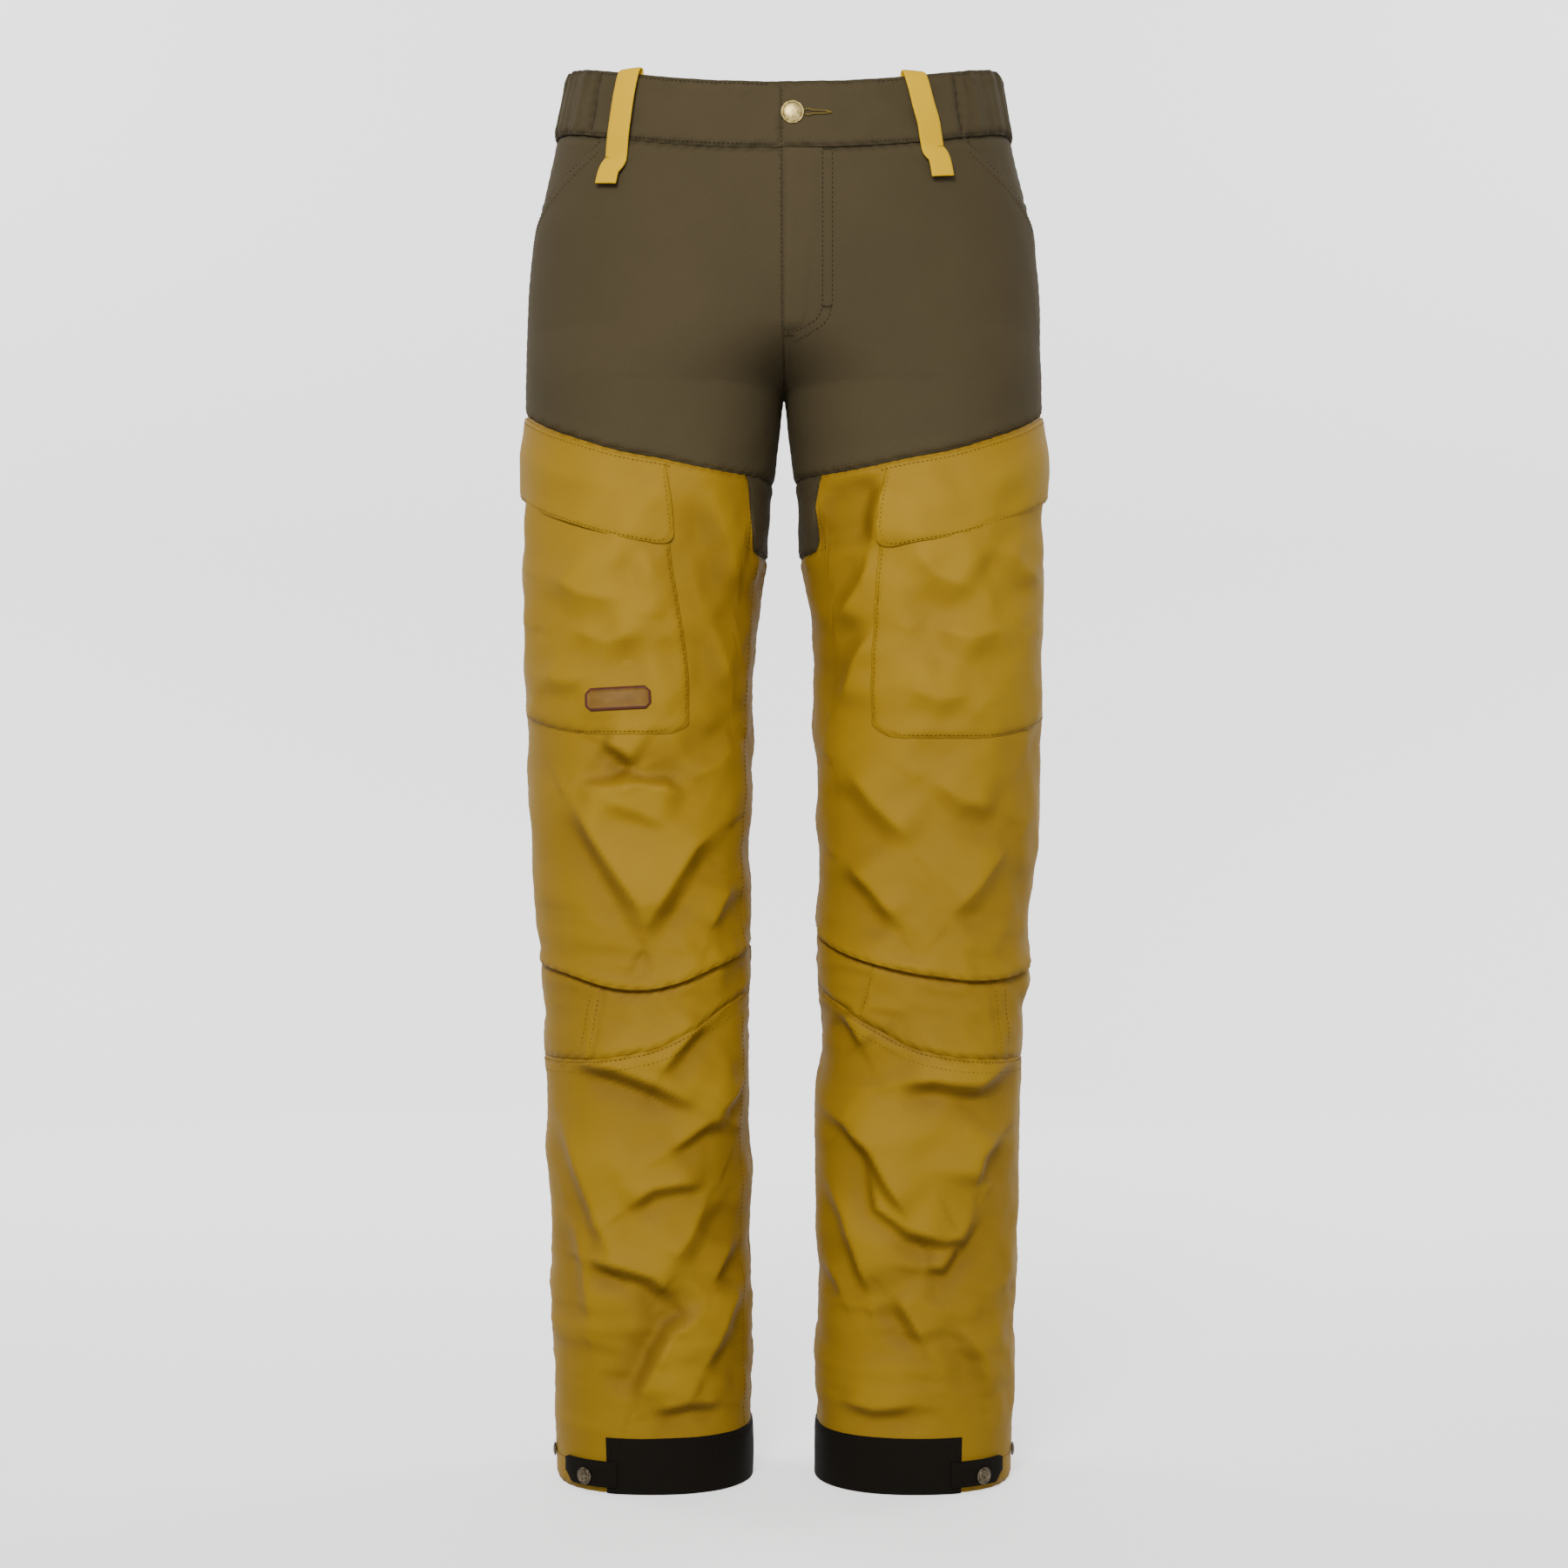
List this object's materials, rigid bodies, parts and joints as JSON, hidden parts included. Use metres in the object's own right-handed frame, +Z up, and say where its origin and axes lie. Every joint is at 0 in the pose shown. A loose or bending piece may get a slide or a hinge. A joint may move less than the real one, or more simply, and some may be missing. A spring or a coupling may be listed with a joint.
{
  "type": "work trousers",
  "caption": "Outdoor work trousers with a dark stretch seat, hard-wearing legs, shaped knees, cargo pockets and snap-tab hems, standing open as if worn.",
  "frame": {"origin": "middle of the waist opening, 1.05 m above the hems", "axes": "+Z up towards the waist, the front faces -Y, the wearer's left leg is on +X"},
  "size_m": [0.4046, 0.2406, 1.0654],
  "materials": {
    "dark_stretch": "dark olive-brown stretch softshell",
    "mustard_cloth": "mustard heavy twill, matt",
    "yellow_cloth": "yellow webbing-like twill",
    "black_cloth": "near-black abrasion cloth",
    "pocketing": "dark brown pocketing",
    "leather": "tan imitation leather, blank",
    "zip_tape": "dark woven zip tape with coil teeth",
    "brass": "antique brass",
    "gunmetal": "dark antiqued brass"
  },
  "bodies": {
    "root": {"back_panel_left": "dark_stretch", "back_panel_right": "dark_stretch", "belt_loop_back_centre": "yellow_cloth", "belt_loop_back_left": "yellow_cloth", "belt_loop_back_right": "yellow_cloth", "belt_loop_front_left": "yellow_cloth", "belt_loop_front_right": "yellow_cloth", "cargo_pocket_left": "mustard_cloth", "cargo_pocket_right": "mustard_cloth", "fly_facing": "pocketing", "fly_shield": "pocketing", "front_panel_left": "dark_stretch", "front_panel_right": "dark_stretch", "gusset_left": "dark_stretch", "gusset_right": "dark_stretch", "label_patch": "leather", "pocket_bag_left": "pocketing", "pocket_bag_right": "pocketing", "pocket_facing_left": "dark_stretch", "pocket_facing_right": "dark_stretch", "thigh_back_left": "mustard_cloth", "thigh_back_right": "mustard_cloth", "thigh_front_left": "mustard_cloth", "thigh_front_right": "mustard_cloth", "waist_button": "brass", "waist_button_tack": "brass", "waistband_back": "dark_stretch", "waistband_elastic_left": "dark_stretch", "waistband_elastic_right": "dark_stretch", "waistband_front_left": "dark_stretch", "waistband_front_right": "dark_stretch", "zip_bottom_stop": "brass", "zip_half_left": "zip_tape", "zip_half_right": "zip_tape"},
    "lower_leg_right": {"knee_panel_right": "mustard_cloth", "shin_front_right": "mustard_cloth", "shin_back_right": "mustard_cloth", "kick_panel_right": "black_cloth", "snap_post_right": "gunmetal", "adjust_stud_right": "gunmetal"},
    "cuff_tab_right": {"cuff_tab_right": "black_cloth", "snap_cap_right": "gunmetal"},
    "cargo_flap_right": {"cargo_flap_right": "mustard_cloth"},
    "lower_leg_left": {"knee_panel_left": "mustard_cloth", "shin_front_left": "mustard_cloth", "shin_back_left": "mustard_cloth", "kick_panel_left": "black_cloth", "snap_post_left": "gunmetal", "adjust_stud_left": "gunmetal"},
    "cuff_tab_left": {"cuff_tab_left": "black_cloth", "snap_cap_left": "gunmetal"},
    "cargo_flap_left": {"cargo_flap_left": "mustard_cloth"},
    "zip_slider": {"zip_slider": "brass", "zip_pull": "brass"}
  },
  "joints": [
    {"name": "knee_right", "type": "hinge", "parent": "root", "child": "lower_leg_right", "pos_m": [-0.105, 0.079, -0.665], "axis": [1, 0, 0], "range_deg": [0, 45]},
    {"name": "cargo_flap_right", "type": "hinge", "parent": "root", "child": "cargo_flap_right", "pos_m": [-0.1625, -0.0866, -0.277], "axis": [-0.7502, 0.6013, 0.2749], "range_deg": [0, 150]},
    {"name": "cuff_tab_right", "type": "hinge", "parent": "lower_leg_right", "child": "cuff_tab_right", "pos_m": [-0.12667, -0.06893, -1.036], "axis": [0, 0, 1], "range_deg": [0, 120]},
    {"name": "knee_left", "type": "hinge", "parent": "root", "child": "lower_leg_left", "pos_m": [0.105, 0.079, -0.665], "axis": [1, 0, 0], "range_deg": [0, 45]},
    {"name": "cargo_flap_left", "type": "hinge", "parent": "root", "child": "cargo_flap_left", "pos_m": [0.1625, -0.0866, -0.277], "axis": [-0.7502, -0.6013, -0.2749], "range_deg": [0, 150]},
    {"name": "cuff_tab_left", "type": "hinge", "parent": "lower_leg_left", "child": "cuff_tab_left", "pos_m": [0.12667, -0.06893, -1.036], "axis": [0, 0, -1], "range_deg": [0, 120]},
    {"name": "zip_slider", "type": "slide", "parent": "root", "child": "zip_slider", "axis": [0, 0.1367, -0.9906], "range_m": [0, 0.09]}
  ]
}
